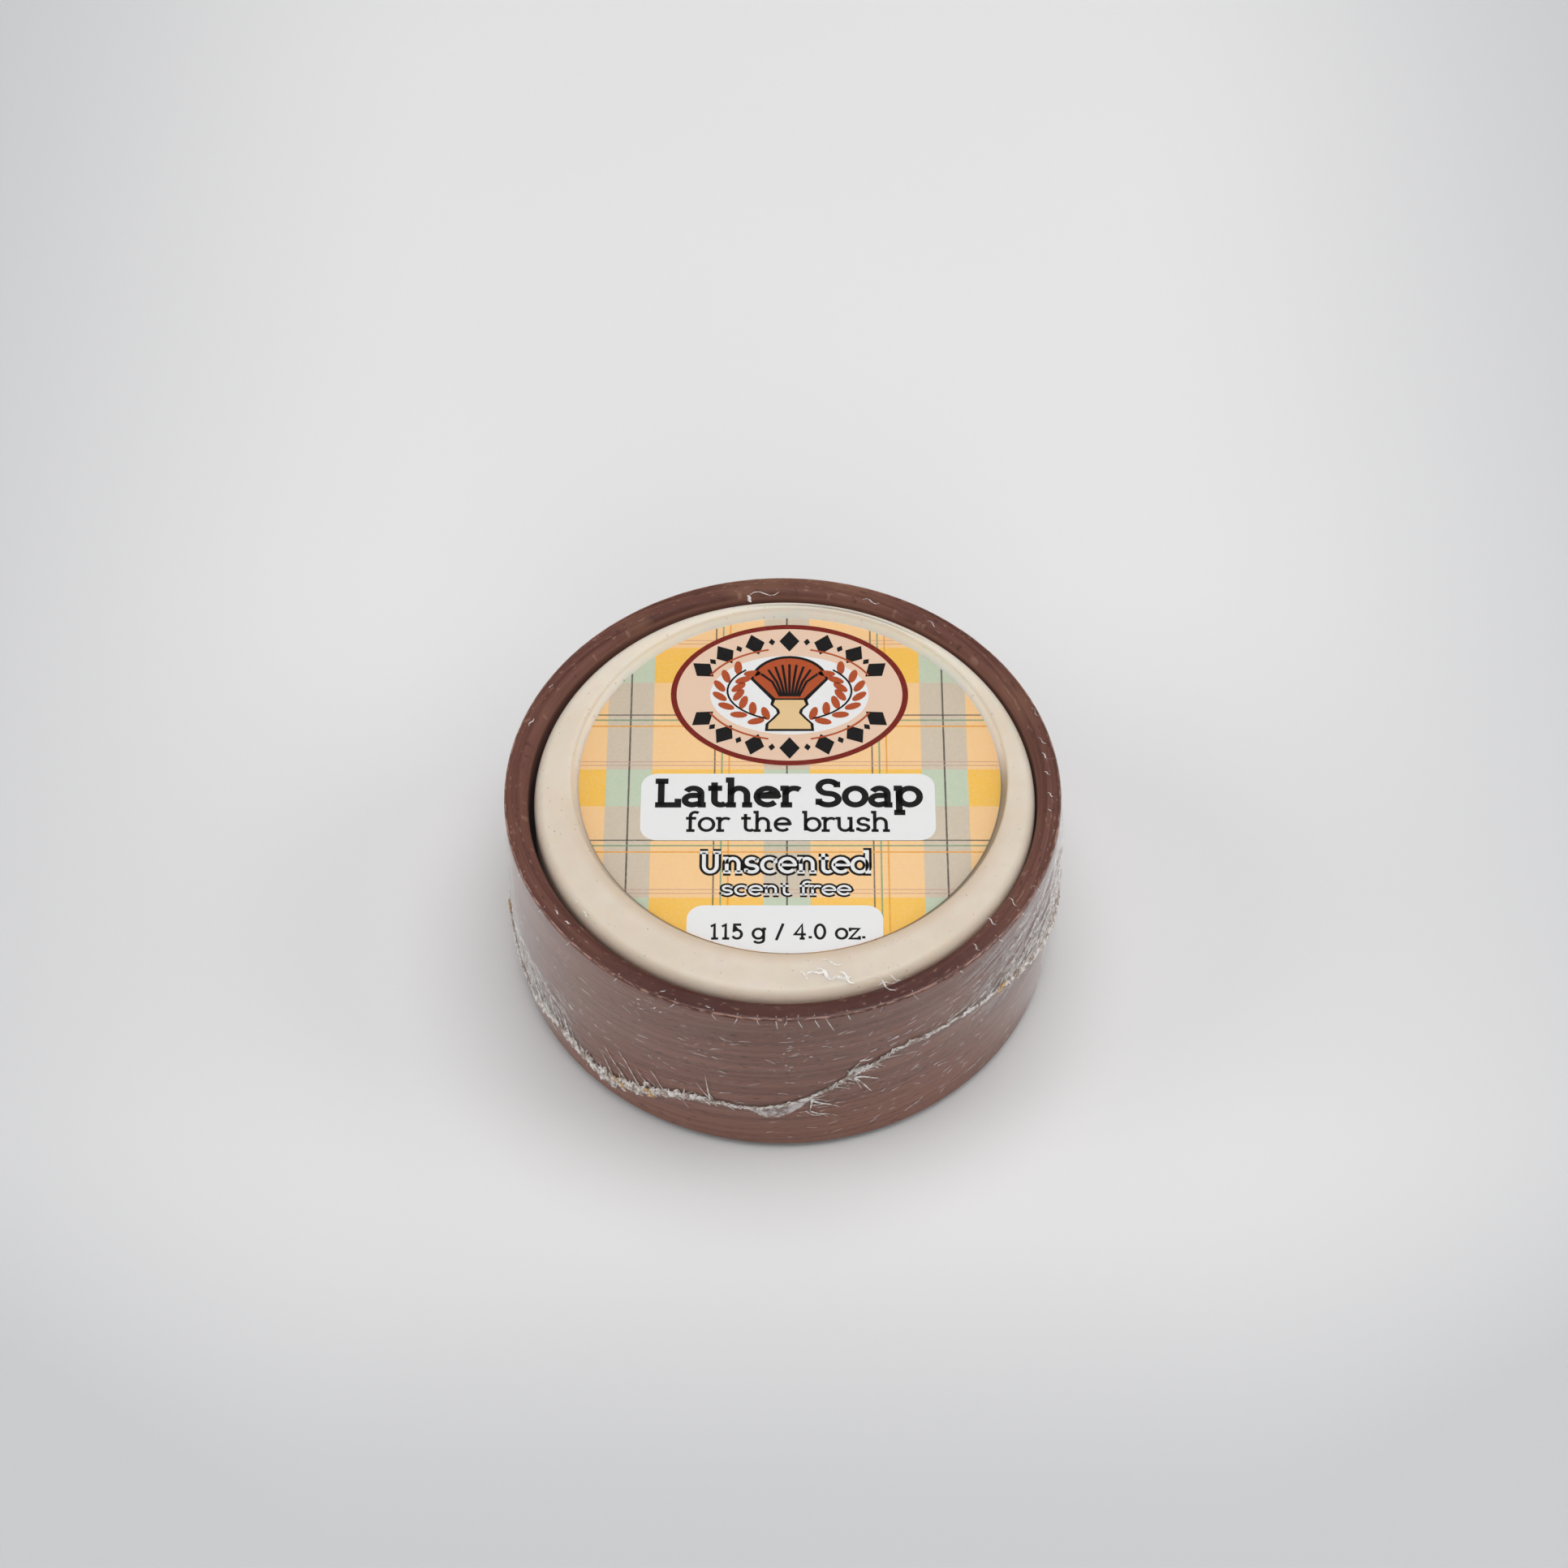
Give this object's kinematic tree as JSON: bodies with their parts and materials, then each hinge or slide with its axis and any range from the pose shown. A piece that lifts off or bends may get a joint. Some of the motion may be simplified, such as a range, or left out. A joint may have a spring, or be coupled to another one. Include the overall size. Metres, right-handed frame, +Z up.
{
  "type": "shaving bowl",
  "caption": "Turned dark-stained wooden bowl holding a round cream soap puck with a labelled dish, sealed in clear shrink film.",
  "frame": {"origin": "centre of the base, on the surface that the bowl stands on", "axes": "+Z up along the bowl's axis; -Y is the side that faces the viewer when the label reads upright; +X is to that viewer's right"},
  "size_m": [0.0855, 0.0855, 0.0358],
  "materials": {
    "stained_wood": "dark brown stain with a satin wax finish and fine turned grain",
    "soap": "smooth pressed cream soap, slightly waxy",
    "printed_paper": "printed plaid on matte paper",
    "plain_paper": "matte off-white paper",
    "clear_film": "clear, tight and glossy, with fine creases",
    "welded_film": "crumpled whitish weld bead"
  },
  "bodies": {
    "bowl": {"bowl": "stained_wood", "base_label": "plain_paper", "film_lower": "clear_film", "film_seam": "welded_film"},
    "soap": {"soap_puck": "soap", "top_label": "printed_paper"},
    "film": {"film_upper": "clear_film"}
  },
  "joints": [
    {"name": "soap_lift", "type": "slide", "parent": "bowl", "child": "soap", "axis": [0, 0, 1], "range_m": [0, 0.045]},
    {"name": "film_lift", "type": "slide", "parent": "bowl", "child": "film", "axis": [0, 0, 1], "range_m": [0, 0.09]}
  ],
  "couplings": [
    {"joint": "film_lift", "follows": "soap_lift", "ratio": 2}
  ]
}
